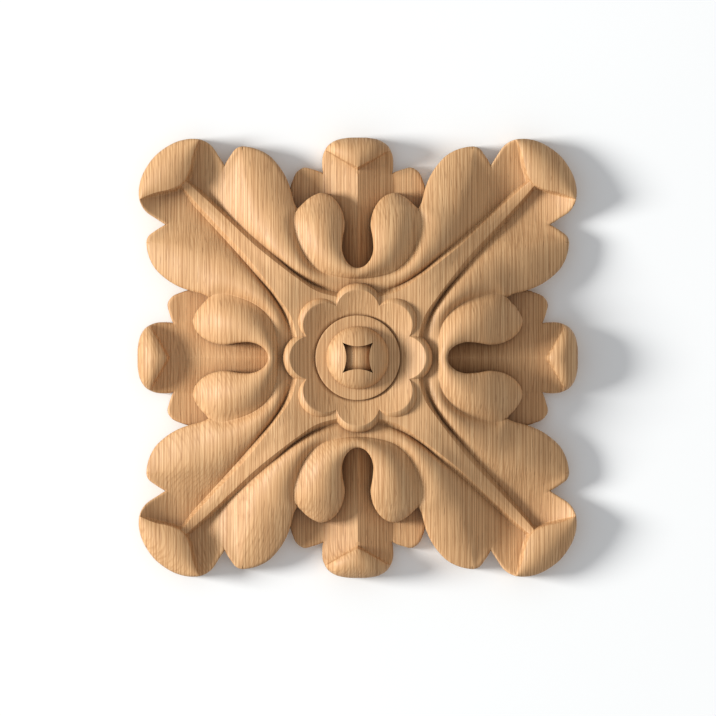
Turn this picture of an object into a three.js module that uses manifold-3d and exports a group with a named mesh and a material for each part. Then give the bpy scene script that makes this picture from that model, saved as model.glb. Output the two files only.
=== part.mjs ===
import * as THREE from 'three';
import { mergeVertices } from 'three/addons/utils/BufferGeometryUtils.js';
import Module from 'manifold-3d';

// Overall sizes in millimetres
const side = 100;
const troughThickness = 3;
const relief = 14.4;

// Flower sizes in millimetres
const petalCount = 8;
const petalRadius = 5;
const petalCentreRadius = 10.55;
const petalRimHeight = 11.6;
const petalWallWidth = 1.4;
const petalWallBow = 4;
const petalWallDrop = 2.9;
const ringOuterRadius = 9.6;
const ringInnerRadius = 7.15;
const ringStep = 0.6;
const ringRise = 0.15;
const starCornerRadius = 4.9;
const starWaistRadius = 2.6;
const starDepth = 2.2;
const dishBow = 1.25;
const wellGap = 0.05;
const wellSink = 1;

// The leaves are carving drawn on a grid of steps: this many from the centre
// to a side of the square, and this many from the deepest trough to the top
const gridHalf = 219.2;
const gridTop = 63.1;
const step = side / 2 / gridHalf;
const rise = relief / gridTop;

// Rows of the leaf surfaces along each stretch, and columns across
const valleyRows = 7;
const lobeRows = 6;
const shoulderRows = 3;
const hollowRows = 4;
const innerTipRows = 3;
const flankColumns = 2;
const ridgeColumns = 3;
const scrollColumns = 3;
const hiddenRows = 3;
const sideLobeRows = 5;
const tipRows = 3;
const roofColumns = 3;
const domeSteps = 5;
const starSegments = 5;
const petalSegments = 8;
const dishRows = 3;
const wallRows = 2;
const curlRows = 2;
const curlPower = 3;
const turnSegments = 48;

// Heights in this file are above the back face, in millimetres
const ringHeight = petalRimHeight - petalWallDrop + ringStep + troughThickness;
const dishHeight = ringHeight - ringStep;
const topHeight = troughThickness + relief;

// A carving point (grid x, grid y, grid height) in millimetres
function place(point) {
  return [point[0] * step, point[1] * step, troughThickness + point[2] * rise];
}

function distance(a, b) {
  return Math.hypot(a[0] - b[0], a[1] - b[1], a[2] - b[2]);
}

// Smooth curve through points, called with a share of its length from 0 to 1.
// Its stations are the shares of the numbered points in marks.
function spline(points, marks = []) {
  const at = [0];
  for (let i = 1; i < points.length; i++) {
    at.push(at[i - 1] + distance(points[i], points[i - 1]));
  }
  const last = points.length - 1;
  const chord = (i, axis) => (points[i + 1][axis] - points[i][axis]) / (at[i + 1] - at[i]);
  const inner = (i, axis) => {
    const before = at[i] - at[i - 1];
    const after = at[i + 1] - at[i];
    return (chord(i - 1, axis) * after + chord(i, axis) * before) / (before + after);
  };
  const slope = (i, axis) => {
    if (last === 1) {
      return chord(0, axis);
    }
    if (i === 0) {
      return 2 * chord(0, axis) - inner(1, axis);
    }
    if (i === last) {
      return 2 * chord(last - 1, axis) - inner(last - 1, axis);
    }
    return inner(i, axis);
  };
  const curve = (share) => {
    const s = share * at[last];
    let i = 0;
    while (i < last - 1 && s > at[i + 1]) {
      i++;
    }
    const span = at[i + 1] - at[i];
    const u = (s - at[i]) / span;
    if (Math.min(u, 1 - u) < 0.000001) {
      return points[u < 0.5 ? i : i + 1];
    }
    return [0, 1, 2].map((axis) => {
      const a = points[i][axis];
      const b = points[i + 1][axis];
      const ease = u * u * (3 - 2 * u);
      const rest = u * (1 - u);
      const bend = slope(i, axis) * rest * (1 - u) - slope(i + 1, axis) * rest * u;
      return a + (b - a) * ease + bend * span;
    });
  };
  curve.stations = marks.map((i) => at[i] / at[last]);
  return curve;
}

// Points of a curve with the given numbers of rows between its stations
function walk(curve, rows) {
  const points = [curve(curve.stations[0])];
  rows.forEach((count, part) => {
    const from = curve.stations[part];
    const to = curve.stations[part + 1];
    for (let i = 1; i <= count; i++) {
      points.push(curve(from + ((to - from) * i) / count));
    }
  });
  return points;
}

// Feature lines of one eighth of the carving, from the upright axis outwards.
// Each runs from under the flower, and its marks are the ends of the stretches:
// start, lobe notch, lobe tip, corner notch, scroll.
const midrib = spline([
  [35.4, 35.4, 43], [53, 53, 44], [70.7, 70.7, 47.2], [88.4, 88.4, 41], [107, 107, 29.8],
  [126, 126, 17.3], [145, 145, 7.6], [158, 158, 4.8], [173, 173, 8.8],
], [0, 4, 6, 7, 8]);
const midribEdge = spline([
  [0, 57, 44], [22, 61, 43], [40, 66, 44], [60, 79, 46.3], [80, 94, 42.2],
  [104, 113.5, 28.8], [122, 130.5, 16.8], [141, 148.5, 7], [155, 161.5, 4.5],
  [171, 175.5, 8.6],
], [0, 5, 7, 8, 9]);
const groove = spline([
  [0, 66, 36.5], [22, 65.5, 35.8], [40, 71.5, 35.2], [60, 83, 36.7], [80, 99.5, 33.5],
  [103, 119, 21], [122, 136, 7.8], [140, 152.5, -2.6], [153, 164.5, -4.6], [167, 175, -3],
], [0, 5, 7, 8, 9]);
const flank = spline([
  [0, 70, 36.8], [27, 71.5, 38.5], [46.5, 78, 40.8], [64.5, 91, 42.2], [78.5, 105.4, 39],
  [94.5, 125.5, 30.4], [110, 147, 19.5], [130, 174, 3.8], [141.5, 180, -0.8],
  [151, 189.5, -1], [160, 198, 1],
], [0, 5, 7, 8, 10]);
const ridge = spline([
  [0, 74, 37.6], [20, 75.5, 39.6], [35, 78, 41.4], [48, 83, 43.2], [61.5, 94, 44.1],
  [73.5, 110.3, 40.6], [86, 134, 32.8], [94, 148, 26.6], [101.8, 166.9, 20.6],
  [110.3, 186.7, 12.9], [115, 210.5, 5],
], [0, 6, 10]);
const valley = spline([
  [0, 79, 39.8], [20, 81, 40.6], [35, 85.5, 38.8], [46.5, 94, 36.8], [55, 106.6, 34.6],
  [60.6, 122.5, 30.6], [63.2, 137.5, 26.4], [60.3, 148.5, 23],
], [0, 7]);
const innerRidge = spline([
  [0, 86.8, 49.5], [12, 91.8, 50.5], [22, 100, 51], [31, 113, 50], [37, 127, 46.2],
  [39.5, 140, 39.6], [39.5, 150, 31.5], [38.8, 158.5, 23.5], [37.5, 164.2, 16.5],
], [0, 6, 8]);
const slotEdge = spline([
  [0, 89.2, 49.2], [5.5, 90.6, 49.2], [11.5, 96.2, 48.8], [15.1, 105, 46.8],
  [15.1, 117, 42.2], [12.9, 133, 35.3], [16.6, 148.5, 27], [21.5, 156.2, 23],
  [29, 162.2, 18.8], [37.5, 164.2, 16.5],
], [0, 6, 9]);

// Outlines of the lobes and the scroll
const innerLobeSide = spline([
  [60.3, 148.5, 23], [56.9, 151.3, 21.2], [50.5, 157.3, 19.2], [44.5, 161.3, 17.6],
  [37.5, 164.2, 16.5],
], [0, 4]);
const bigLobeSide = spline([
  [60.3, 148.5, 23], [63.2, 154, 20.5], [66.4, 166, 16.5], [71.9, 180.5, 12.5],
  [79.3, 192, 9], [89.5, 202.3, 7], [101, 208, 5.8], [115, 210.5, 5],
], [0, 7]);
const bigLobeShoulder = spline([
  [115, 210.5, 5], [120.8, 208.6, 5], [126, 202.3, 4.6], [132.5, 191.5, 3.2],
], [0, 3]);
const hollowSide = spline([
  [132.5, 191.5, 3.2], [138, 200.1, 3.8], [146, 211.4, 7.2], [157.5, 217.4, 14],
], [0, 3]);
const foldEdge = spline([
  [174, 174, 15.6], [170.4, 178.6, 15.7], [166.8, 188, 16], [164.6, 199.5, 15.6],
  [161, 210, 14.6], [157.5, 217.4, 14],
]);
const scrollCrest = spline([
  [186, 186, 19.3], [179, 194.2, 18.6], [170.6, 203.8, 16.8], [157.5, 217.4, 14],
]);
const scrollSide = spline([
  [201.4, 201.4, 5.6], [192.5, 208.5, 6.4], [180.6, 214.9, 8], [167.5, 217.9, 10.6],
  [157.5, 217.4, 14],
]);

// Half of the leaf that points along the upright axis, one tier lower
const leafAxis = spline([
  [0, 80, 32], [0, 110, 24], [0, 135, 16.3], [0, 160, 10.2], [0, 177, 8.6], [0, 186.6, 8.8],
], [0, 3, 5]);
const leafRoofFoot = spline([
  [22, 80, 16], [30, 120, 6], [35, 150, -1.5], [36, 168, -4], [34.6, 184, -4],
], [0, 3, 4]);
const leafShoulder = spline([
  [34.6, 184, -4], [35.4, 192, -3], [35, 200, -1], [32.8, 206.3, 3],
], [0, 3]);
const sideLobeInner = spline([
  [60, 110, 2], [67, 150, -1.5], [67.6, 168, -2.5],
], [0, 2]);
const sideLobeOutline = spline([
  [67.6, 168, -2.5], [65.3, 175.5, -3], [60.4, 185.4, -3], [53.7, 189.4, -3.2],
  [44.8, 187.7, -3.6], [34.6, 184, -4],
], [0, 5]);
const tipFoldEdge = spline([
  [0, 189.7, 23], [9.6, 194.6, 21.8], [19.4, 199.8, 18.5], [27, 204.4, 12.5],
  [32.8, 206.3, 3],
]);
const tipCrest = spline([
  [0, 201, 26], [10.8, 203.2, 23.8], [21, 206, 19], [27.8, 207.8, 12], [32.8, 206.3, 3],
]);
const tipOutline = spline([
  [0, 219.2, 9.5], [12, 218.7, 9.5], [21.6, 216.5, 9], [29.3, 211.6, 6.5], [32.8, 206.3, 3],
]);

// Three-point and longer rows across the leaf, split into the given columns
function across(knots, columns) {
  const distinct = [];
  const index = [];
  knots.forEach((knot) => {
    const previous = distinct[distinct.length - 1];
    if (!previous || distance(previous, knot) > 0.01) {
      distinct.push(knot);
    }
    index.push(distinct.length - 1);
  });
  if (distinct.length === 1) {
    const total = columns.reduce((sum, count) => sum + count, 1);
    return Array.from({ length: total }, () => distinct[0]);
  }
  return walk(spline(distinct, index), columns);
}

// Points from low to high, the low one left out, that rise more and more steeply
function curl(low, high) {
  return Array.from({ length: curlRows }, (unused, i) => {
    const share = (i + 1) / curlRows;
    const along = [0, 1].map((axis) => low[axis] + (high[axis] - low[axis]) * share);
    return [...along, low[2] + (high[2] - low[2]) * share ** curlPower];
  });
}

// Surface triangles between neighbouring rows of points, facing up
function addSurface(triangles, rows) {
  for (let r = 1; r < rows.length; r++) {
    for (let c = 1; c < rows[r].length; c++) {
      const near = rows[r - 1];
      const far = rows[r];
      addUp(triangles, near[c - 1], near[c], far[c]);
      addUp(triangles, near[c - 1], far[c], far[c - 1]);
    }
  }
}

function addUp(triangles, a, b, c) {
  const area = (b[0] - a[0]) * (c[1] - a[1]) - (c[0] - a[0]) * (b[1] - a[1]);
  const flat = Math.min(distance(a, b), distance(b, c), distance(c, a)) < 0.001;
  if (!flat) {
    triangles.push(area > 0 ? [a, b, c] : [a, c, b]);
  }
}

// Closed solid under a surface: its open edges run straight down to the back
function solidUnder(triangles, bottom) {
  const key = (point) => point.map((value) => Math.round(value * 1000)).join(' ');
  const open = new Map();
  triangles.forEach((triangle) => {
    triangle.forEach((from, i) => {
      const to = triangle[(i + 1) % 3];
      const reverse = key(to) + '/' + key(from);
      if (!open.delete(reverse)) {
        open.set(key(from) + '/' + key(to), [from, to]);
      }
    });
  });
  const next = new Map();
  open.forEach(([from, to]) => next.set(key(from), [from, to]));
  const down = (point) => [point[0], point[1], bottom];
  const faces = triangles.slice();
  const loop = [];
  let current = next.keys().next().value;
  for (let i = 0; i < next.size; i++) {
    const [from, to] = next.get(current);
    faces.push([from, down(from), down(to)]);
    faces.push([from, down(to), to]);
    loop.push(new THREE.Vector2(from[0], from[1]));
    current = key(to);
  }
  THREE.ShapeUtils.triangulateShape(loop, []).forEach((triangle) => {
    const [a, b, c] = triangle.map((i) => [loop[i].x, loop[i].y, bottom]);
    faces.push([a, c, b]);
  });
  const geometry = new THREE.BufferGeometry();
  geometry.setAttribute('position', new THREE.Float32BufferAttribute(faces.flat(2), 3));
  return geometry;
}

// Ways to copy a point: as drawn, mirrored, and turned by quarter turns
const asDrawn = (p) => p;
const acrossAxis = (p) => [-p[0], p[1], p[2]];
const acrossDiagonal = (p) => [p[1], p[0], p[2]];
const quarterTurns = [
  asDrawn,
  (p) => [-p[1], p[0], p[2]],
  (p) => [-p[0], -p[1], p[2]],
  (p) => [p[1], -p[0], p[2]],
];

// The surface once for each way of copying it
function copies(triangles, ways) {
  const result = [];
  ways.forEach((way) => {
    triangles.forEach((triangle) => {
      const [a, b, c] = triangle.map(way);
      addUp(result, a, b, c);
    });
  });
  return result;
}

// Upper tier: the four corner leaves, one continuous carving round the flower
function upperTier() {
  const triangles = [];
  const stretches = [valleyRows, lobeRows, shoulderRows, hollowRows];
  const lobeEnd = valleyRows + lobeRows;
  const midribRow = walk(midrib, stretches);
  const edgeRow = walk(midribEdge, stretches);
  const grooveRow = walk(groove, stretches);
  const flankRow = walk(flank, stretches);
  const border = [
    ...walk(ridge, [valleyRows, lobeRows]),
    ...walk(bigLobeShoulder, [shoulderRows]).slice(1),
    ...walk(hollowSide, [hollowRows]).slice(1),
  ];
  const valleyLine = walk(valley, [valleyRows]);
  const lobeBorder = [...valleyLine, ...walk(bigLobeSide, [lobeRows]).slice(1)];

  const midribRows = midribRow.map((point, i) => [point, edgeRow[i], grooveRow[i]]);
  const flankRows = [];
  const lobeSideRows = [];
  grooveRow.forEach((point, i) => {
    const knots = [point, flankRow[i], border[i]];
    const columns = [flankColumns, flankColumns];
    if (i <= lobeEnd) {
      knots.push(lobeBorder[i]);
      columns.push(ridgeColumns);
    }
    const row = across(knots, columns);
    flankRows.push(row.slice(0, 2 * flankColumns + 1));
    if (i <= lobeEnd) {
      lobeSideRows.push(row.slice(2 * flankColumns));
    }
  });
  addSurface(triangles, midribRows);
  addSurface(triangles, flankRows);
  addSurface(triangles, lobeSideRows);
  addUp(triangles, [0, 0, midribRow[0][2]], midribRow[0], edgeRow[0]);

  const crestLine = walk(innerRidge, [valleyRows, innerTipRows]);
  const slotLine = walk(slotEdge, [valleyRows, innerTipRows]);
  const innerBorder = [...valleyLine, ...walk(innerLobeSide, [innerTipRows]).slice(1)];
  addSurface(triangles, crestLine.map((crest, i) => (
    across([innerBorder[i], crest, slotLine[i]], [ridgeColumns, ridgeColumns])
  )));

  const foot = [...midribRows[midribRows.length - 1], ...flankRows[flankRows.length - 1].slice(1)];
  const reach = [0];
  for (let i = 1; i < foot.length; i++) {
    reach.push(reach[i - 1] + distance(foot[i], foot[i - 1]));
  }
  const scrollRows = foot.map((point, i) => {
    const share = reach[i] / reach[foot.length - 1];
    const knots = [foldEdge(share), scrollCrest(share), scrollSide(share)];
    const face = across(knots, [scrollColumns, scrollColumns]);
    return [point, ...curl(point, knots[0]), ...face.slice(1)];
  });
  addSurface(triangles, scrollRows);
  const placed = triangles.map((triangle) => triangle.map(place));
  const corner = copies(placed, [asDrawn, acrossDiagonal]);
  return solidUnder(copies(corner, quarterTurns), 0);
}

// Lower tier: a leaf along an axis, which shows in the slot and between the lobes
function axisLeaf(turn) {
  const triangles = [];
  const axisLine = walk(leafAxis, [hiddenRows, sideLobeRows + tipRows]);
  const footLine = walk(leafRoofFoot, [hiddenRows, sideLobeRows]);
  const roofSide = [...footLine, ...walk(leafShoulder, [tipRows]).slice(1)];
  const roofRows = axisLine.map((point, i) => across([point, roofSide[i]], [roofColumns]));
  addSurface(triangles, roofRows);
  const lobeLine = [
    ...walk(sideLobeInner, [hiddenRows]),
    ...walk(sideLobeOutline, [sideLobeRows]).slice(1),
  ];
  addSurface(triangles, footLine.map((point, i) => across([point, lobeLine[i]], [1])));
  const fold = roofRows[roofRows.length - 1];
  addSurface(triangles, fold.map((point, i) => {
    const share = i / (fold.length - 1);
    const knots = [tipFoldEdge(share), tipCrest(share), tipOutline(share)];
    return [point, ...across(knots, [scrollColumns, scrollColumns])];
  }));
  const placed = triangles.map((triangle) => triangle.map(place));
  const leaf = copies(placed, [asDrawn, acrossAxis]);
  return solidUnder(copies(leaf, [turn]), 0);
}

// Distance from the flower's centre to the rim of its petals
function rimRadius(angle) {
  const sector = Math.PI / petalCount;
  const off = ((angle + sector) % (2 * sector)) - sector;
  const half = petalCentreRadius * Math.sin(off);
  return petalCentreRadius * Math.cos(off) + Math.sqrt(petalRadius ** 2 - half ** 2);
}

// Solid whose rows of [radius, height] are given for each angle round the flower
function roundTheFlower(rowAt, bottom) {
  const triangles = [];
  const rows = [];
  const total = petalCount * petalSegments;
  for (let i = 0; i <= total; i++) {
    const angle = ((i % total) * 2 * Math.PI) / total;
    rows.push(rowAt(rimRadius(angle)).map(([radius, height]) => (
      [radius * Math.cos(angle), radius * Math.sin(angle), height]
    )));
  }
  addSurface(triangles, rows);
  return solidUnder(triangles, bottom);
}

// Flower: round petals in a ring, their faces one dish, their walls rounded over
function petals() {
  const lift = troughThickness + petalRimHeight - dishHeight;
  const reach = petalCentreRadius + petalRadius - ringOuterRadius;
  return roundTheFlower((rim) => {
    const row = [[0, dishHeight], [ringOuterRadius, dishHeight]];
    for (let i = 1; i <= dishRows; i++) {
      const run = ((rim - ringOuterRadius) * i) / dishRows;
      row.push([ringOuterRadius + run, dishHeight + lift * (run / reach) ** dishBow]);
    }
    const top = row[row.length - 1][1];
    for (let i = 1; i <= wallRows; i++) {
      const share = i / wallRows;
      row.push([
        rim + petalWallWidth * (1 - (1 - share) ** petalWallBow),
        top - petalWallDrop * share,
      ]);
    }
    return row;
  }, 0);
}

// What is cut from the leaves to make room for the petals' dished faces
function flowerWell() {
  const lid = topHeight + wellSink;
  return roundTheFlower((rim) => [[0, lid], [rim + wellGap, lid]], dishHeight - wellSink);
}

// Raised ring and the domed boss in it, turned about the flower's centre
function ringAndBoss() {
  const bossRise = topHeight - ringHeight - ringRise;
  const profile = [
    new THREE.Vector2(0, troughThickness),
    new THREE.Vector2(ringOuterRadius, troughThickness),
    new THREE.Vector2(ringOuterRadius, ringHeight),
    new THREE.Vector2(ringInnerRadius, ringHeight + ringRise),
  ];
  for (let i = 1; i <= domeSteps; i++) {
    const angle = (i * Math.PI) / 2 / domeSteps;
    const radius = ringInnerRadius * Math.cos(angle);
    const height = ringHeight + ringRise + bossRise * Math.sin(angle);
    profile.push(new THREE.Vector2(i === domeSteps ? 0 : radius, height));
  }
  return new THREE.LatheGeometry(profile, turnSegments).rotateX(Math.PI / 2);
}

// Star-shaped recess in the boss: four corners joined by arcs that bend inwards
function starRecess() {
  const corner = starCornerRadius * Math.SQRT1_2;
  const bend = 2 * starWaistRadius - corner;
  const shape = new THREE.Shape();
  shape.moveTo(corner, -corner);
  shape.quadraticCurveTo(bend, 0, corner, corner);
  shape.quadraticCurveTo(0, bend, -corner, corner);
  shape.quadraticCurveTo(-bend, 0, -corner, -corner);
  shape.quadraticCurveTo(0, -bend, corner, -corner);
  const settings = { depth: 2 * starDepth, bevelEnabled: false, curveSegments: starSegments };
  return new THREE.ExtrudeGeometry(shape, settings).translate(0, 0, topHeight - starDepth);
}

const wasm = await Module();
wasm.setup();

function toSolid(geometry) {
  const bare = geometry.clone();
  bare.deleteAttribute('normal');
  bare.deleteAttribute('uv');
  const merged = mergeVertices(bare, 0.0001);
  return new wasm.Manifold(new wasm.Mesh({
    numProp: 3,
    vertProperties: merged.attributes.position.array,
    triVerts: new Uint32Array(merged.index.array),
  }));
}

function toGeometry(solid) {
  const mesh = solid.getMesh();
  const geometry = new THREE.BufferGeometry();
  geometry.setAttribute('position', new THREE.BufferAttribute(mesh.vertProperties, 3));
  geometry.setIndex(new THREE.BufferAttribute(mesh.triVerts, 1));
  geometry.computeVertexNormals();
  return geometry;
}

let carving = toSolid(upperTier());
quarterTurns.forEach((turn) => {
  carving = carving.add(toSolid(axisLeaf(turn)));
});
carving = carving
  .subtract(toSolid(flowerWell()))
  .add(toSolid(petals()))
  .add(toSolid(ringAndBoss()))
  .subtract(toSolid(starRecess()));

// The rosette stands upright: its back lies in the XZ plane and its face looks along -Y
const oak = new THREE.MeshStandardMaterial({ color: 0xd2a574, roughness: 0.6, metalness: 0 });
const rosette = new THREE.Mesh(toGeometry(carving), oak);
rosette.name = 'rosette';
rosette.rotation.x = Math.PI / 2;

const part = new THREE.Group();
part.add(rosette);
export default part;
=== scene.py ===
import math

import bmesh
import bpy
import numpy as np
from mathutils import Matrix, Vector


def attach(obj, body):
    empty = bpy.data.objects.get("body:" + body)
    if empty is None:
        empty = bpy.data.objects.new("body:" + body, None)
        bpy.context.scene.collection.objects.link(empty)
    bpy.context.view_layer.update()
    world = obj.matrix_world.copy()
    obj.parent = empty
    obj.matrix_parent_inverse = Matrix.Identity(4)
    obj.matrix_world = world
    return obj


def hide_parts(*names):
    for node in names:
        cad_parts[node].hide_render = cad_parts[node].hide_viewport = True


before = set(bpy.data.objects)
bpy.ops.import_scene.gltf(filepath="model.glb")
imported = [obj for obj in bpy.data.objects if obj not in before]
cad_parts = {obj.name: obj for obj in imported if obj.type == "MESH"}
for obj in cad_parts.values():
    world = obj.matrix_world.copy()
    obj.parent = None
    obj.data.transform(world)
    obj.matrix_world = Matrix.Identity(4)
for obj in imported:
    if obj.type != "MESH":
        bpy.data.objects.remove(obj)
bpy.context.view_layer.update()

# Sizes in millimetres, the same as the solid's
SIDE = 100.0
TROUGH = 3.0
RELIEF = 14.4
PETALS = 8
PETAL_RADIUS = 5.0
PETAL_CENTRE = 10.55
PETAL_RIM = 11.6
PETAL_WALL = 1.4
WALL_BOW = 4.0
PETAL_DROP = 2.9
RING_OUTER = 9.6
RING_INNER = 7.15
RING_STEP = 0.6
RING_RISE = 0.15
STAR_CORNER = 4.9
STAR_WAIST = 2.6
DISH_BOW = 1.25
WELL_GAP = 0.05

# Sizes in millimetres of this mesh alone. The star's floor is a raised cushion, this
# deep in its middle and deeper towards its corners. The solid's is flat and 2.2 deep
STAR_DEPTH = 1.0
STAR_CUSHION = 0.12
RING_FOOT = 0.3
RIM_ROUND = 0.55
BOSS_SINK = 0.07
EDGE_BEVEL = 0.12

# Steps of the turned forms
PETAL_STEPS = 32
FACE_STEPS = 16
WALL_STEPS = 8
BOSS_TURN_STEPS = 192
BOSS_STEPS = 20
RING_STEPS = 6
STAR_SIDE_STEPS = 24

# The leaves are drawn on a grid: steps from the centre to a side, and from
# the deepest trough to the top
GRID_HALF = 219.2
GRID_TOP = 63.1
STEP = SIDE / 2 / GRID_HALF
RISE = RELIEF / GRID_TOP
RING_HEIGHT = PETAL_RIM - PETAL_DROP + RING_STEP + TROUGH
DISH_HEIGHT = RING_HEIGHT - RING_STEP
TOP = TROUGH + RELIEF
MM = 0.001

# Rows along each stretch of the leaves, and columns across
VALLEY_ROWS = 30
LOBE_ROWS = 26
SHOULDER_ROWS = 12
HOLLOW_ROWS = 16
INNER_TIP_ROWS = 12
FLANK_COLUMNS = 18

# Easing of creases: reach in grid steps on each side of a line, and rounds
VALLEY_REACH = 5.0
TIP_REACH = 8.0
EASE_ROUNDS = 10

SHARP_ANGLE = 32

# The photograph's width and the carving's, in its pixels
PHOTO_PIXELS = 716
CARVING_PIXELS = 440
CAMERA_DISTANCE = 5.0
CAMERA_OFFSET = 0.00006
WALL_HALF = 1.5
WALL_GAP = 0.0004
LIGHT_REACH = 3.0
LIGHT_ELEVATION = 25
LIGHT_HEIGHT = 0.15
LIGHT_SIZE = 1.0
LIGHT_POWER = 138.0
LIGHT_COLOUR = (1.0, 0.985, 0.96)
ROOM_COLOUR = (0.97, 0.98, 1.0, 1)
ROOM_STRENGTH = 0.56

# Colours of the wood
RED_TONE = (0.60, 0.340, 0.157, 1)
FIBRE_DARK = (0.41, 0.207, 0.083, 1)
LINE_DARK = (0.34, 0.165, 0.062, 1)
LINE_PALE = (0.80, 0.575, 0.330, 1)
RING_DARK = (0.38, 0.182, 0.068, 1)
PORE_DARK = (0.25, 0.112, 0.042, 1)
# Painted shade: deep browns mixed into hollows and creases where ambient occlusion finds them shut
# in
HOLLOW_PAINTED_SHADE = (0.12, 0.046, 0.018, 1)
CREASE_PAINTED_SHADE = (0.10, 0.040, 0.018, 1)


def spline(points, marks=()):
    """Smooth curve through points, called with a share of its length."""
    points = np.array(points, float)
    gaps = np.linalg.norm(np.diff(points, axis=0), axis=1)
    at = np.concatenate([[0.0], np.cumsum(gaps)])
    chords = np.diff(points, axis=0) / gaps[:, None]
    slopes = np.empty_like(points)
    if len(points) == 2:
        slopes[:] = chords[0]
    else:
        before, after = gaps[:-1, None], gaps[1:, None]
        slopes[1:-1] = (chords[:-1] * after + chords[1:] * before) / (before + after)
        slopes[0] = 2 * chords[0] - slopes[1]
        slopes[-1] = 2 * chords[-1] - slopes[-2]

    def curve(shares):
        s = np.atleast_1d(shares) * at[-1]
        i = np.clip(np.searchsorted(at, s, side="right") - 1, 0, len(gaps) - 1)
        span = gaps[i][:, None]
        u = ((s - at[i]) / gaps[i])[:, None]
        u = np.where(np.abs(u) < 1e-9, 0.0, np.where(np.abs(u - 1) < 1e-9, 1.0, u))
        rest = u * (1 - u)
        bend = slopes[i] * rest * (1 - u) - slopes[i + 1] * rest * u
        return points[i] + (points[i + 1] - points[i]) * u * u * (3 - 2 * u) + bend * span

    curve.stations = [at[i] / at[-1] for i in marks]
    return curve


def walk(curve, parts):
    """Points of a curve; each part is how far along its stretch each row is."""
    shares = [curve.stations[0]]
    for k, steps in enumerate(parts):
        low, high = curve.stations[k], curve.stations[k + 1]
        shares.extend(low + (high - low) * s for s in steps)
    return curve(np.array(shares))


def even(count):
    return [(i + 1) / count for i in range(count)]


def towards_end(count, power=1.6):
    """Steps that get shorter towards the end of the stretch."""
    return [1 - (1 - (i + 1) / count) ** power for i in range(count)]


def towards_start(count, power=1.6):
    return [((i + 1) / count) ** power for i in range(count)]


def across(knots, parts):
    """A row over the leaf through its knots, with knots that fall together merged."""
    distinct, index = [], []
    for knot in knots:
        if not distinct or np.linalg.norm(distinct[-1] - knot) > 0.01:
            distinct.append(knot)
        index.append(len(distinct) - 1)
    if len(distinct) == 1:
        return np.repeat([distinct[0]], 1 + sum(len(p) for p in parts), axis=0)
    row = walk(spline(distinct, index), parts)
    row[0] = knots[0]
    row[-1] = knots[-1]
    return row


def curl(low, high, count, power=3.0):
    """Points from low to high that rise more and more steeply."""
    share = np.linspace(0, 1, count + 1)[:, None]
    points = low + (high - low) * share
    points[:, 2:] = low[2] + (high[2] - low[2]) * share ** power
    return points


# Feature lines of one eighth of the carving, from the upright axis outwards
MIDRIB = spline([
    (35.4, 35.4, 43), (53, 53, 44), (70.7, 70.7, 47.2), (88.4, 88.4, 41), (107, 107, 29.8),
    (126, 126, 17.3), (145, 145, 7.6), (158, 158, 4.8), (173, 173, 8.8),
], (0, 4, 6, 7, 8))
MIDRIB_EDGE = spline([
    (0, 57, 44), (22, 61, 43), (40, 66, 44), (60, 79, 46.3), (80, 94, 42.2),
    (104, 113.5, 28.8), (122, 130.5, 16.8), (141, 148.5, 7), (155, 161.5, 4.5),
    (171, 175.5, 8.6),
], (0, 5, 7, 8, 9))
GROOVE = spline([
    (0, 66, 36.5), (22, 65.5, 35.8), (40, 71.5, 35.2), (60, 83, 36.7), (80, 99.5, 33.5),
    (103, 119, 21), (122, 136, 7.8), (140, 152.5, -2.6), (153, 164.5, -4.6), (167, 175, -3),
], (0, 5, 7, 8, 9))
FLANK = spline([
    (0, 70, 36.8), (27, 71.5, 38.5), (46.5, 78, 40.8), (64.5, 91, 42.2), (78.5, 105.4, 39),
    (94.5, 125.5, 30.4), (110, 147, 19.5), (130, 174, 3.8), (141.5, 180, -0.8),
    (151, 189.5, -1), (160, 198, 1),
], (0, 5, 7, 8, 10))
RIDGE = spline([
    (0, 74, 37.6), (20, 75.5, 39.6), (35, 78, 41.4), (48, 83, 43.2), (61.5, 94, 44.1),
    (73.5, 110.3, 40.6), (86, 134, 32.8), (94, 148, 26.6), (101.8, 166.9, 20.6),
    (110.3, 186.7, 12.9), (115, 210.5, 5),
], (0, 6, 10))
VALLEY = spline([
    (0, 79, 39.8), (20, 81, 40.6), (35, 85.5, 38.8), (46.5, 94, 36.8), (55, 106.6, 34.6),
    (60.6, 122.5, 30.6), (63.2, 137.5, 26.4), (60.3, 148.5, 23),
], (0, 7))
INNER_RIDGE = spline([
    (0, 86.8, 49.5), (12, 91.8, 50.5), (22, 100, 51), (31, 113, 50), (37, 127, 46.2),
    (39.5, 140, 39.6), (39.5, 150, 31.5), (38.8, 158.5, 23.5), (37.5, 164.2, 16.5),
], (0, 6, 8))
SLOT_EDGE = spline([
    (0, 89.2, 49.2), (5.5, 90.6, 49.2), (11.5, 96.2, 48.8), (15.1, 105, 46.8),
    (15.1, 117, 42.2), (12.9, 133, 35.3), (16.6, 148.5, 27), (21.5, 156.2, 23),
    (29, 162.2, 18.8), (37.5, 164.2, 16.5),
], (0, 6, 9))

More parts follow.
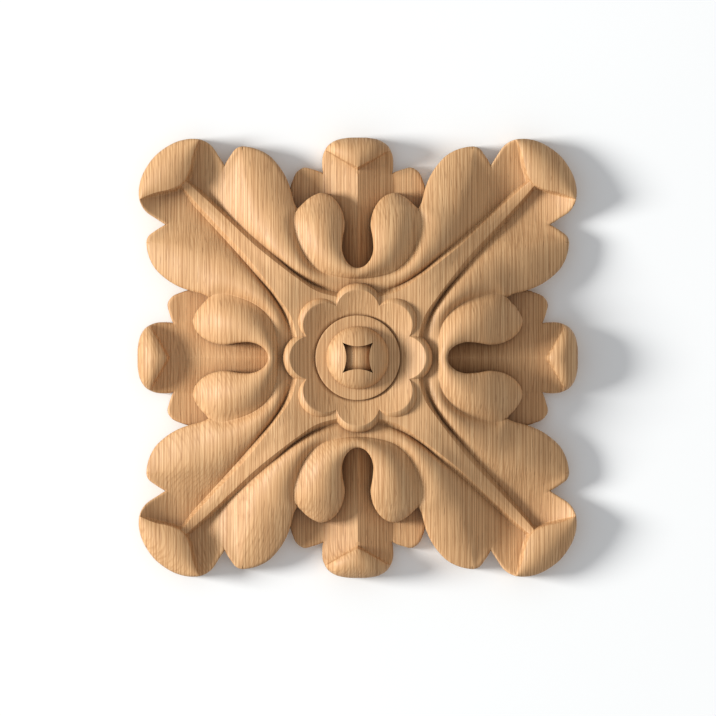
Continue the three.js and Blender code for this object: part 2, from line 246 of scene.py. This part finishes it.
# Outlines of the lobes and the scroll
INNER_LOBE_SIDE = spline([
    (60.3, 148.5, 23), (56.9, 151.3, 21.2), (50.5, 157.3, 19.2), (44.5, 161.3, 17.6),
    (37.5, 164.2, 16.5),
], (0, 4))
BIG_LOBE_SIDE = spline([
    (60.3, 148.5, 23), (63.2, 154, 20.5), (66.4, 166, 16.5), (71.9, 180.5, 12.5),
    (79.3, 192, 9), (89.5, 202.3, 7), (101, 208, 5.8), (115, 210.5, 5),
], (0, 7))
BIG_LOBE_SHOULDER = spline([
    (115, 210.5, 5), (120.8, 208.6, 5), (126, 202.3, 4.6), (132.5, 191.5, 3.2),
], (0, 3))
HOLLOW_SIDE = spline([
    (132.5, 191.5, 3.2), (138, 200.1, 3.8), (146, 211.4, 7.2), (157.5, 217.4, 14),
], (0, 3))
FOLD_EDGE = spline([
    (174, 174, 15.6), (170.4, 178.6, 15.7), (166.8, 188, 16), (164.6, 199.5, 15.6),
    (161, 210, 14.6), (157.5, 217.4, 14),
])
SCROLL_CREST = spline([
    (186, 186, 19.3), (179, 194.2, 18.6), (170.6, 203.8, 16.8), (157.5, 217.4, 14),
])
SCROLL_SIDE = spline([
    (201.4, 201.4, 5.6), (192.5, 208.5, 6.4), (180.6, 214.9, 8), (167.5, 217.9, 10.6),
    (157.5, 217.4, 14),
])

# Half of the lower leaf that points along the upright axis
LEAF_AXIS = spline([
    (0, 80, 32), (0, 110, 24), (0, 135, 16.3), (0, 160, 10.2), (0, 177, 8.6), (0, 186.6, 8.8),
], (0, 3, 5))
LEAF_ROOF_FOOT = spline([
    (22, 80, 16), (30, 120, 6), (35, 150, -1.5), (36, 168, -4), (34.6, 184, -4),
], (0, 3, 4))
LEAF_SHOULDER = spline([
    (34.6, 184, -4), (35.4, 192, -3), (35, 200, -1), (32.8, 206.3, 3),
], (0, 3))
SIDE_LOBE_INNER = spline([
    (60, 110, 2), (67, 150, -1.5), (67.6, 168, -2.5),
], (0, 2))
SIDE_LOBE_OUTLINE = spline([
    (67.6, 168, -2.5), (65.3, 175.5, -3), (60.4, 185.4, -3), (53.7, 189.4, -3.2),
    (44.8, 187.7, -3.6), (34.6, 184, -4),
], (0, 5))
TIP_FOLD_EDGE = spline([
    (0, 189.7, 23), (9.6, 194.6, 21.8), (19.4, 199.8, 18.5), (27, 204.4, 12.5),
    (32.8, 206.3, 3),
])
TIP_CREST = spline([
    (0, 201, 26), (10.8, 203.2, 23.8), (21, 206, 19), (27.8, 207.8, 12), (32.8, 206.3, 3),
])
TIP_OUTLINE = spline([
    (0, 219.2, 9.5), (12, 218.7, 9.5), (21.6, 216.5, 9), (29.3, 211.6, 6.5), (32.8, 206.3, 3),
])


def share_along(points):
    reach = np.concatenate([[0.0], np.cumsum(np.linalg.norm(np.diff(points, axis=0), axis=1))])
    return reach / reach[-1]


def upper_grids():
    """Grids of points over one eighth of the corner leaves."""
    parts = [even(VALLEY_ROWS), even(LOBE_ROWS), even(SHOULDER_ROWS), even(HOLLOW_ROWS)]
    lobe_end = VALLEY_ROWS + LOBE_ROWS
    midrib, edge = walk(MIDRIB, parts), walk(MIDRIB_EDGE, parts)
    groove, flank = walk(GROOVE, parts), walk(FLANK, parts)
    border = np.concatenate([
        walk(RIDGE, parts[:2]),
        walk(BIG_LOBE_SHOULDER, parts[2:3])[1:],
        walk(HOLLOW_SIDE, parts[3:])[1:],
    ])
    valley = walk(VALLEY, parts[:1])
    lobe_border = np.concatenate([valley, walk(BIG_LOBE_SIDE, parts[1:2])[1:]])
    top = np.array([across([m, e], [even(5)]) for m, e in zip(midrib, edge)])
    wall = np.array([across([e, g], [even(5)]) for e, g in zip(edge, groove)])
    flanks, sides = [], []
    for i, point in enumerate(groove):
        knots = [point, flank[i], border[i]]
        closeness = min(max((i - lobe_end + 8) / 8, 0), 1)
        columns = [even(8), towards_end(FLANK_COLUMNS - 8, 1 + 0.8 * closeness)]
        if i > lobe_end:
            flanks.append(across(knots, columns))
            continue
        row = across(knots + [lobe_border[i]], columns + [towards_end(12, 1.5)])
        flank_part = row[:FLANK_COLUMNS + 1]
        flanks.append(flank_part + (across(knots, columns) - flank_part) * closeness)
        sides.append(row[FLANK_COLUMNS:])
    crest = walk(INNER_RIDGE, [even(VALLEY_ROWS), even(INNER_TIP_ROWS)])
    slot = walk(SLOT_EDGE, [even(VALLEY_ROWS), even(INNER_TIP_ROWS)])
    inner = np.concatenate([valley, walk(INNER_LOBE_SIDE, [even(INNER_TIP_ROWS)])[1:]])
    cushions = np.array([
        across([a, b, c], [even(10), towards_end(12, 1.6)])
        for a, b, c in zip(inner, crest, slot)
    ])
    flanks = np.array(flanks)
    foot = np.concatenate([top[-1], wall[-1][1:], flanks[-1][1:]])
    shares = share_along(foot)
    fold, scroll_crest, outline = FOLD_EDGE(shares), SCROLL_CREST(shares), SCROLL_SIDE(shares)
    scroll = np.array([
        np.concatenate([
            curl(f, a, 6)[:-1],
            across([a, b, c], [towards_start(10, 1.3), towards_end(14, 1.7)]),
        ])
        for f, a, b, c in zip(foot, fold, scroll_crest, outline)
    ])
    hub = np.array([[(0, 0, midrib[0][2])] * len(top[0]), top[0]])
    return [top, wall, flanks, np.array(sides), cushions, scroll, hub]


def leaf_grids():
    """Grids of points over half of a lower leaf."""
    hidden, lobe, tip = 8, 22, 12
    axis = walk(LEAF_AXIS, [even(hidden + 10), even(lobe + tip)])
    foot = walk(LEAF_ROOF_FOOT, [even(hidden + 10), even(lobe)])
    side = np.concatenate([foot, walk(LEAF_SHOULDER, [even(tip)])[1:]])
    roof = np.array([across([a, b], [towards_end(18, 1.3)]) for a, b in zip(axis, side)])
    outer = np.concatenate([
        walk(SIDE_LOBE_INNER, [even(hidden + 10)]),
        walk(SIDE_LOBE_OUTLINE, [even(lobe)])[1:],
    ])
    lobes = np.array([across([a, b], [towards_end(14, 1.4)]) for a, b in zip(foot, outer)])
    shares = share_along(roof[-1])
    edge, crest, outline = TIP_FOLD_EDGE(shares), TIP_CREST(shares), TIP_OUTLINE(shares)
    cap = np.array([
        np.concatenate([
            across([f, a], [even(2)])[:-1],
            across([a, b, c], [even(8), towards_end(12, 1.7)]),
        ])
        for f, a, b, c in zip(roof[-1], edge, crest, outline)
    ])
    return [roof, lobes, cap]


def join_grids(grids, mirrors):
    """Vertices and faces of the grids, welded, once for each mirror."""
    points, faces = [], []
    base = 0
    for mirror in mirrors:
        for grid in grids:
            rows, columns = grid.shape[:2]
            points.append(grid.reshape(-1, 3) @ np.array(mirror, float).T)
            index = base + np.arange(rows * columns).reshape(rows, columns)
            quads = np.stack([
                index[:-1, :-1], index[:-1, 1:], index[1:, 1:], index[1:, :-1],
            ], axis=-1).reshape(-1, 4)
            faces.append(quads)
            base += rows * columns
    points, faces = np.concatenate(points), np.concatenate(faces)
    keys = np.round(points * 500).astype(np.int64)
    _, first, welded = np.unique(keys, axis=0, return_index=True, return_inverse=True)
    return points[first], welded.reshape(-1)[faces]


def face_list(points, quads):
    """Faces without repeated corners, all turned to face up."""
    faces = []
    for quad in quads:
        corners = [int(v) for k, v in enumerate(quad) if v != quad[k - 1]]
        if len(set(corners)) < 3 or len(set(corners)) < len(corners):
            continue
        p = points[corners]
        area = 0.0
        for k in range(len(p)):
            area += p[k - 1][0] * p[k][1] - p[k][0] * p[k - 1][1]
        faces.append(corners if area > 0 else corners[::-1])
    return faces


def links(faces):
    pairs = np.array([
        (face[k - 1], face[k]) for face in faces for k in range(len(face))
    ])
    both = np.sort(pairs, axis=1)
    edges, counts = np.unique(both, axis=0, return_counts=True)
    return edges, edges[counts == 1]


def smooth(points, edges, weight, rounds, axes=(0, 1, 2)):
    """Draws each point towards the mean of its neighbours, by its own weight."""
    axes = list(axes)
    degree = np.bincount(edges.reshape(-1), minlength=len(points))[:, None]
    for _ in range(rounds):
        total = np.zeros((len(points), len(axes)))
        np.add.at(total, edges[:, 0], points[edges[:, 1]][:, axes])
        np.add.at(total, edges[:, 1], points[edges[:, 0]][:, axes])
        points[:, axes] += (total / degree - points[:, axes]) * weight[:, None]
    return points


def away_from(points, line):
    """Distance of each point from the segments of a line, seen from the front."""
    starts, ends = line[:, 0, :2], line[:, 1, :2]
    result = np.full(len(points), 1e9)
    for a, b in zip(starts, ends):
        run = b - a
        offset = points[:, :2] - a
        along = np.clip(offset @ run / max(run @ run, 1e-12), 0, 1)
        gap = offset - along[:, None] * run
        result = np.minimum(result, np.hypot(gap[:, 0], gap[:, 1]))
    return result


def rounded_rim(points, rim_edges, radius):
    """Lowers the surface in a quarter round along its outline."""
    gap = np.full(len(points), 1e9)
    line = points[rim_edges]
    middle = line[:, :, :2].mean(axis=1)
    for start in range(0, len(points), 2000):
        block = np.arange(start, min(start + 2000, len(points)))
        flat = points[block][:, None, :2] - middle[None]
        close = (np.hypot(flat[..., 0], flat[..., 1]) < 4 * radius).any(axis=1)
        chosen = block[close]
        if len(chosen):
            gap[chosen] = away_from(points[chosen], line)
    inside = np.clip(radius - gap, 0, radius)
    points[:, 2] -= radius - np.sqrt(radius ** 2 - inside ** 2)
    return points


def solid_under(name, points, faces, bottom=0.0):
    """A closed mesh under a surface, its open edges run straight down."""
    mesh = bpy.data.meshes.new(name)
    mesh.from_pydata([tuple(p) for p in points], [], faces)
    bm = bmesh.new()
    bm.from_mesh(mesh)
    bmesh.ops.delete(bm, geom=[v for v in bm.verts if not v.link_faces], context="VERTS")
    rim = [edge for edge in bm.edges if len(edge.link_faces) == 1]
    made = bmesh.ops.extrude_edge_only(bm, edges=rim)["geom"]
    for vert in [item for item in made if isinstance(item, bmesh.types.BMVert)]:
        vert.co.z = bottom
    rim = [edge for edge in bm.edges if len(edge.link_faces) == 1]
    bmesh.ops.holes_fill(bm, edges=rim)
    bmesh.ops.recalc_face_normals(bm, faces=bm.faces)
    bm.to_mesh(mesh)
    bm.free()
    made = bpy.data.objects.new(name, mesh)
    bpy.context.scene.collection.objects.link(made)
    return made


def leaf_points(grids, mirrors, soft_lines=(), ease=0.4):
    """Welded carving in millimetres: creases eased, the rim rounded."""
    points, quads = join_grids(grids, mirrors)
    faces = face_list(points, quads)
    edges, rim = links(faces)
    weight = np.full(len(points), ease)
    weight[rim.reshape(-1)] = 0.0
    points = smooth(points, edges, weight, 1)
    if soft_lines:
        folded = np.sort(np.abs(points[:, :2]), axis=1)
        soft = np.zeros(len(points))
        for line, reach in soft_lines:
            soft = np.maximum(soft, np.clip(1 - away_from(folded, line) / reach, 0, 1) * 0.5)
        soft[rim.reshape(-1)] = 0.0
        points = smooth(points, edges, soft, EASE_ROUNDS, axes=(2,))
    points = points * (STEP, STEP, RISE) + (0, 0, TROUGH)
    points[:, :2] = np.clip(points[:, :2], -SIDE / 2, SIDE / 2)
    return rounded_rim(points, rim, RIM_ROUND), faces


def segments(points):
    return np.stack([points[:-1], points[1:]], axis=1)


def petal_rim(angle):
    """Distance from the flower's centre to the rim of its petals."""
    sector = math.pi / PETALS
    off = (angle + sector) % (2 * sector) - sector
    half = PETAL_CENTRE * math.sin(off)
    return PETAL_CENTRE * math.cos(off) + math.sqrt(PETAL_RADIUS ** 2 - half ** 2)


def dish_height(radius):
    """Height of the petals' faces, the same all round at one distance from the centre."""
    reach = PETAL_CENTRE + PETAL_RADIUS - RING_OUTER
    share = max(0.0, (radius - RING_OUTER) / reach)
    return DISH_HEIGHT + (PETAL_RIM + TROUGH - DISH_HEIGHT) * share ** DISH_BOW


def turned(row_at, count):
    """Welded points and faces of a row of radius and height turned about the centre."""
    grid = []
    for i in range(count + 1):
        angle = (i % count) * 2 * math.pi / count
        grid.append([(r * math.cos(angle), r * math.sin(angle), h) for r, h in row_at(angle)])
    points, quads = join_grids([np.array(grid)], [np.eye(3)])
    return points, face_list(points, quads)


def petal_row(angle):
    """The petals at one angle: a dished face and a wall that rounds over and runs down."""
    rim = petal_rim(angle)
    row = [
        (0.0, DISH_HEIGHT - RING_FOOT),
        (RING_OUTER, DISH_HEIGHT - RING_FOOT),
        (RING_OUTER + 0.12, DISH_HEIGHT - RING_FOOT * 0.8),
    ]
    for k in range(1, FACE_STEPS + 1):
        radius = RING_OUTER + (rim - 0.1 - RING_OUTER) * (0.06 + 0.94 * k / FACE_STEPS)
        row.append((radius, dish_height(radius)))
    top = dish_height(rim)
    row.append((rim, top - EDGE_BEVEL / 2))
    for k in range(1, WALL_STEPS + 1):
        share = k / WALL_STEPS
        out = PETAL_WALL * (1 - (1 - share) ** WALL_BOW)
        row.append((rim + 0.03 + out, top - EDGE_BEVEL / 2 - PETAL_DROP * share))
    row.append((rim + PETAL_WALL + 0.1, TROUGH + 3))
    return row


def well_row(angle):
    return [(0.0, TOP + 1), (petal_rim(angle) + WELL_GAP, TOP + 1)]


def boss_profile():
    """Radius and height of the boss, the ring round it and the ring's wall."""
    inner_height = RING_HEIGHT + RING_RISE
    crest = TOP - BOSS_SINK
    profile = [(0.0, crest)]
    for i in range(1, BOSS_STEPS + 1):
        angle = math.pi / 2 * (1 - i / BOSS_STEPS)
        profile.append((
            RING_INNER * math.cos(angle),
            inner_height + (crest - inner_height) * math.sin(angle),
        ))
    for i in range(1, RING_STEPS + 1):
        share = i / RING_STEPS
        profile.append((
            RING_INNER + 0.05 + (RING_OUTER - 0.15 - RING_INNER) * share,
            inner_height - RING_RISE * share,
        ))
    profile += [
        (RING_OUTER - 0.03, RING_HEIGHT - 0.04),
        (RING_OUTER, RING_HEIGHT - EDGE_BEVEL),
        (RING_OUTER + 0.02, TROUGH + 2),
    ]
    return profile


def star_cutter():
    """What is cut from the boss: a star with arcs between its corners, its floor a cushion."""
    corner = STAR_CORNER * math.sqrt(0.5)
    bend = 2 * STAR_WAIST - corner
    outline = []
    for quarter in range(4):
        turn = quarter * math.pi / 2
        for i in range(STAR_SIDE_STEPS):
            t = i / STAR_SIDE_STEPS
            x = corner * (1 - t) ** 2 + 2 * bend * t * (1 - t) + corner * t ** 2
            y = -corner * (1 - t) ** 2 + corner * t ** 2
            outline.append((
                x * math.cos(turn) - y * math.sin(turn),
                x * math.sin(turn) + y * math.cos(turn),
            ))
    floor = TOP - STAR_DEPTH
    points, faces = [], []
    rings = [0.15, 0.3, 0.45, 0.6, 0.75, 0.9, 1.0]
    count = len(outline)
    for share in rings:
        points += [
            (x * share, y * share, floor - STAR_CUSHION * share ** 2 * (x * x + y * y))
            for x, y in outline
        ]
    points += [(x, y, TOP + 1) for x, y in outline]
    points += [(0, 0, floor), (0, 0, TOP + 1)]
    for ring in range(len(rings)):
        for i in range(count):
            j = (i + 1) % count
            a, b = ring * count + i, ring * count + j
            faces.append((a, b, b + count, a + count))
    for i in range(count):
        j = (i + 1) % count
        faces.append((len(points) - 2, j, i))
        faces.append((len(points) - 1, len(rings) * count + i, len(rings) * count + j))
    mesh = bpy.data.meshes.new("star")
    mesh.from_pydata(points, [], faces)
    bm = bmesh.new()
    bm.from_mesh(mesh)
    bmesh.ops.recalc_face_normals(bm, faces=bm.faces)
    bm.to_mesh(mesh)
    bm.free()
    cutter = bpy.data.objects.new("star", mesh)
    bpy.context.scene.collection.objects.link(cutter)
    return cutter


def combine(target, other, operation):
    change = target.modifiers.new(operation.lower(), "BOOLEAN")
    change.operation = operation
    change.solver = "MANIFOLD"
    change.object = other
    bpy.context.view_layer.objects.active = target
    bpy.context.view_layer.update()
    done = bpy.data.meshes.new_from_object(target.evaluated_get(
        bpy.context.evaluated_depsgraph_get()))
    target.modifiers.clear()
    target.data = done
    bpy.data.objects.remove(other)


IDENTITY = ((1, 0, 0), (0, 1, 0), (0, 0, 1))
DIAGONAL = ((0, 1, 0), (1, 0, 0), (0, 0, 1))
TURNS = [
    ((math.cos(a), -math.sin(a), 0), (math.sin(a), math.cos(a), 0), (0, 0, 1))
    for a in (0, math.pi / 2, math.pi, 3 * math.pi / 2)
]


def make_rosette():
    """The whole carving as one closed mesh, in metres in the row's frame."""
    eight = [np.round(np.array(t) @ np.array(m)) for t in TURNS for m in (IDENTITY, DIAGONAL)]
    valley = np.concatenate([
        segments(VALLEY(np.linspace(0, 1, 40))),
        segments(RIDGE(np.linspace(0.8, 1, 12))),
    ])
    grids = upper_grids()
    tip_row = grids[2][VALLEY_ROWS + LOBE_ROWS, 7:]
    soft_lines = [(valley, VALLEY_REACH), (segments(tip_row), TIP_REACH)]
    points, faces = leaf_points(grids, eight, soft_lines)
    piece = solid_under("carved_rosette", points, faces)
    mirror_x = np.diag([-1.0, 1.0, 1.0])
    for turn in TURNS:
        halves = [np.round(np.array(turn)), np.round(np.array(turn)) @ mirror_x]
        points, faces = leaf_points(leaf_grids(), halves, ease=0.1)
        combine(piece, solid_under("leaf", points, faces), "UNION")
    well = turned(well_row, PETALS * PETAL_STEPS)
    petals = turned(petal_row, PETALS * PETAL_STEPS)
    profile = boss_profile()
    boss = turned(lambda angle: profile, BOSS_TURN_STEPS)
    combine(piece, solid_under("well", *well, bottom=DISH_HEIGHT - 1), "DIFFERENCE")
    combine(piece, solid_under("petals", *petals), "UNION")
    combine(piece, solid_under("boss", *boss), "UNION")
    combine(piece, star_cutter(), "DIFFERENCE")
    count = len(piece.data.vertices)
    flat = np.zeros(count * 3)
    piece.data.vertices.foreach_get("co", flat)
    p = flat.reshape(-1, 3)
    placed = np.stack([p[:, 0], -p[:, 2], p[:, 1]], 1) * MM
    piece.data.vertices.foreach_set("co", placed.reshape(-1))
    piece.data.update()
    piece.data.polygons.foreach_set("use_smooth", [True] * len(piece.data.polygons))
    piece.data.set_sharp_from_angle(angle=math.radians(SHARP_ANGLE))
    return piece


class Nodes:
    """Small helper that builds a material's nodes."""

    def __init__(self, name):
        self.material = bpy.data.materials.new(name)
        self.material.use_nodes = True
        self.tree = self.material.node_tree
        self.shader = self.tree.nodes["Principled BSDF"]
        self.output = self.tree.nodes["Material Output"]

    def add(self, kind, inputs=None, **settings):
        node = self.tree.nodes.new(kind)
        for key, value in settings.items():
            setattr(node, key, value)
        for key, value in (inputs or {}).items():
            self.feed(node.inputs[key], value)
        return node

    def feed(self, socket, value):
        if isinstance(value, bpy.types.NodeSocket):
            self.tree.links.new(value, socket)
        else:
            socket.default_value = value

    def math(self, operation, a, b=0.0, c=0.0):
        return self.add("ShaderNodeMath", {0: a, 1: b, 2: c}, operation=operation).outputs[0]

    def noise(self, vector, scale=1.0, detail=2.0, rough=0.5):
        inputs = {"Vector": vector, "Scale": scale, "Detail": detail, "Roughness": rough}
        return self.add("ShaderNodeTexNoise", inputs).outputs["Fac"]

    def stretch(self, vector, scale, location=(0, 0, 0)):
        inputs = {"Vector": vector, "Scale": scale, "Location": location}
        return self.add("ShaderNodeMapping", inputs).outputs[0]

    def ramp(self, factor, stops):
        node = self.add("ShaderNodeValToRGB", {0: factor})
        elements = node.color_ramp.elements
        while len(elements) < len(stops):
            elements.new(0.5)
        for element, (place, colour) in zip(elements, stops):
            element.position = place
            element.color = (*colour, 1.0)
        return node.outputs[0]

    def spread(self, value, low, high, to_low=0.0, to_high=1.0):
        inputs = {
            "Value": value, "From Min": low, "From Max": high, "To Min": to_low, "To Max": to_high,
        }
        return self.add("ShaderNodeMapRange", inputs).outputs[0]

    def mix(self, factor, a, b, blend="MIX"):
        node = self.add("ShaderNodeMix", data_type="RGBA", blend_type=blend)
        self.feed(node.inputs[0], factor)
        self.feed(node.inputs[6], a)
        self.feed(node.inputs[7], b)
        return node.outputs[2]


def oak():
    """Bare oak with its grain up the square: growth rings, fibres and pores.

    Hollows and creases are darkened towards a deep brown by ambient occlusion: painted shade.
    """
    n = Nodes("oak")
    place = n.add("ShaderNodeTexCoord").outputs["Object"]
    mm = n.stretch(place, (1000, 1000, 1000))
    parts = n.add("ShaderNodeSeparateXYZ", {0: mm})
    x, depth = parts.outputs[0], parts.outputs[1]
    low_left = n.math("MULTIPLY_ADD", parts.outputs[2], -0.8, n.math("MULTIPLY", x, -0.6))
    figure = n.spread(low_left, 16.0, 42.0)

    sway = n.noise(n.stretch(mm, (0.03, 0.04, 0.006)), 1.0, 2.0)
    ripple = n.noise(n.stretch(mm, (0.25, 0.10, 0.02)), 1.0, 2.0)
    ring = n.math("MULTIPLY_ADD", depth, n.math("MULTIPLY_ADD", figure, 0.9, 0.45), x)
    ring = n.math("MULTIPLY_ADD", sway, 7.0, ring)
    ring = n.math("MULTIPLY_ADD", ripple, 0.8, ring)
    ring = n.math("FRACT", n.math("MULTIPLY", ring, 0.80))
    early = n.ramp(ring, [
        (0.0, (1, 1, 1)), (0.14, (0.4, 0.4, 0.4)), (0.38, (0.05, 0.05, 0.05)),
        (0.82, (0, 0, 0)), (1.0, (1, 1, 1)),
    ])

    fibre = n.noise(n.stretch(mm, (2.7, 0.12, 0.012)), 1.0, 0.0)
    hair = n.noise(n.stretch(mm, (3.8, 0.20, 0.03), (1, 8, 5)), 1.0, 0.0)
    beside = n.noise(n.stretch(mm, (3.8, 0.20, 0.03), (2.1, 8, 5)), 1.0, 0.0)
    hair = n.math("MULTIPLY_ADD", n.math("SUBTRACT", hair, beside), 0.7, 0.5)
    drift = n.noise(n.stretch(mm, (0.35, 0.05, 0.010), (5, 2, 8)), 1.0, 1.0)
    phase = n.math("MULTIPLY_ADD", drift, 4.0, n.math("MULTIPLY", x, 1.72))
    phase = n.math("MULTIPLY_ADD", depth, n.math("MULTIPLY_ADD", figure, 0.9, 0.4), phase)
    lines = n.math("SINE", n.math("MULTIPLY", phase, 2 * math.pi))
    fade = n.noise(n.stretch(mm, (1.1, 0.2, 0.06), (4, 4, 1)), 1.0, 1.0)
    lines = n.math("MULTIPLY", n.spread(lines, -1.0, 1.0), n.spread(fade, 0.35, 0.65, 0.10, 0.42))
    streak = n.noise(n.stretch(mm, (0.62, 0.16, 0.010), (7, 3, 1)), 1.0, 2.0, 0.5)
    tone = n.noise(n.stretch(mm, (0.07, 0.05, 0.01), (2, 9, 4)), 1.0, 1.0)
    pore_field = n.noise(n.stretch(mm, (3.6, 0.6, 0.30), (3, 3, 3)), 1.0, 1.0, 0.4)
    pores = n.spread(pore_field, 0.58, 0.68)
    pores = n.math("MULTIPLY", pores, n.spread(early, 0.0, 0.6, 0.35, 1.0))

    base = n.ramp(streak, [
        (0.26, (0.555, 0.320, 0.150)), (0.50, (0.615, 0.374, 0.182)), (0.74, (0.66, 0.42, 0.212)),
    ])
    base = n.mix(n.spread(tone, 0.35, 0.65, 0.0, 0.5), base, RED_TONE)
    base = n.mix(n.spread(fibre, 0.42, 0.64, 0.0, 0.20), base, FIBRE_DARK)
    base = n.mix(n.spread(hair, 0.48, 0.66, 0.0, 0.66), base, LINE_DARK)
    base = n.mix(n.spread(hair, 0.46, 0.32, 0.0, 0.12), base, LINE_PALE)
    base = n.mix(lines, base, LINE_DARK)
    ring_tone = n.math("MULTIPLY", early, n.math("MULTIPLY_ADD", figure, 0.22, 0.10))
    base = n.mix(ring_tone, base, RING_DARK)
    base = n.mix(n.math("MULTIPLY", pores, 0.38), base, PORE_DARK)
    # Painted shade: the colour darkens towards deep brown in hollows, by ambient occlusion over 7
    # mm
    hollow = n.add("ShaderNodeAmbientOcclusion", {"Distance": 0.007}, samples=8, only_local=True)
    shade = n.spread(hollow.outputs["AO"], 0.15, 0.75, 0.42, 0.0)
    base = n.mix(shade, base, HOLLOW_PAINTED_SHADE)
    # Painted shade: thin dark lines in creases, by ambient occlusion over 1.2 mm
    crease = n.add("ShaderNodeAmbientOcclusion", {"Distance": 0.0012}, samples=8, only_local=True)
    line = n.spread(crease.outputs["AO"], 0.25, 0.72, 0.28, 0.0)
    base = n.mix(line, base, CREASE_PAINTED_SHADE)
    n.feed(n.shader.inputs["Base Color"], base)

    rough = n.spread(fibre, 0.3, 0.7, 0.50, 0.64)
    n.feed(n.shader.inputs["Roughness"], rough)
    n.feed(n.shader.inputs["Specular IOR Level"], 0.35)

    height = n.math("MULTIPLY_ADD", fibre, 0.5, n.math("MULTIPLY", pores, -0.7))
    bump = n.add("ShaderNodeBump", {"Strength": 0.35, "Distance": 0.00012, "Height": height})
    n.feed(n.shader.inputs["Normal"], bump.outputs[0])
    return n.material


def wall_material():
    """Matt white board, clear where it is seen from behind so that it never hides the back."""
    n = Nodes("white_board")
    place = n.add("ShaderNodeTexCoord").outputs["Object"]
    cloud = n.noise(n.stretch(place, (9, 9, 9)), 1.0, 2.0)
    white = n.ramp(cloud, [(0.3, (0.844, 0.860, 0.866)), (0.7, (0.860, 0.873, 0.878))])
    n.feed(n.shader.inputs["Base Color"], white)
    n.feed(n.shader.inputs["Roughness"], 0.95)
    n.feed(n.shader.inputs["Specular IOR Level"], 0.1)
    behind = n.add("ShaderNodeNewGeometry").outputs["Backfacing"]
    clear = n.add("ShaderNodeBsdfTransparent").outputs[0]
    choice = n.add("ShaderNodeMixShader", {0: behind, 1: n.shader.outputs[0], 2: clear})
    n.tree.links.new(choice.outputs[0], n.output.inputs[0])
    return n.material


def make_wall():
    mesh = bpy.data.meshes.new("backdrop")
    sides = ((-1, -1), (1, -1), (1, 1), (-1, 1))
    corners = [(x * WALL_HALF, WALL_GAP, z * WALL_HALF) for x, z in sides]
    mesh.from_pydata(corners, [], [(0, 1, 2, 3)])
    wall = bpy.data.objects.new("backdrop", mesh)
    wall.data.materials.append(wall_material())
    bpy.context.scene.collection.objects.link(wall)
    wall.visible_diffuse = False
    wall.visible_glossy = False
    wall.visible_shadow = False
    return wall


def aim(thing, target):
    thing.rotation_euler = (Vector(target) - thing.location).to_track_quat("-Z", "Y").to_euler()


def area_light(name, place, size, power, colour):
    data = bpy.data.lights.new(name, "AREA")
    data.shape = "DISK"
    data.size = size
    data.energy = power
    data.color = colour
    light = bpy.data.objects.new(name, data)
    light.location = place
    bpy.context.scene.collection.objects.link(light)
    aim(light, (0, 0, 0))
    return light


def make_world(strength):
    world = bpy.data.worlds.new("room")
    world.use_nodes = True
    background = world.node_tree.nodes["Background"]
    background.inputs[0].default_value = ROOM_COLOUR
    background.inputs[1].default_value = strength
    bpy.context.scene.world = world


def make_camera():
    data = bpy.data.cameras.new("camera")
    data.sensor_width = 36.0
    width = PHOTO_PIXELS / CARVING_PIXELS * SIDE * MM
    data.lens = data.sensor_width * CAMERA_DISTANCE / width
    camera = bpy.data.objects.new("camera", data)
    camera.location = (CAMERA_OFFSET, -CAMERA_DISTANCE, -CAMERA_OFFSET)
    camera.rotation_euler = (math.pi / 2, 0, 0)
    bpy.context.scene.collection.objects.link(camera)
    bpy.context.scene.camera = camera


rosette = make_rosette()
rosette.data.materials.clear()
rosette.data.materials.append(oak())
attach(rosette, "root")
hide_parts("rosette")
make_wall()

elevation = math.radians(LIGHT_ELEVATION)
key_place = (
    -LIGHT_REACH * math.cos(elevation),
    -LIGHT_REACH * math.sin(elevation),
    LIGHT_HEIGHT,
)
area_light("key", key_place, LIGHT_SIZE, LIGHT_POWER, LIGHT_COLOUR)
make_world(ROOM_STRENGTH)
make_camera()
bpy.context.scene.view_settings.view_transform = "Standard"
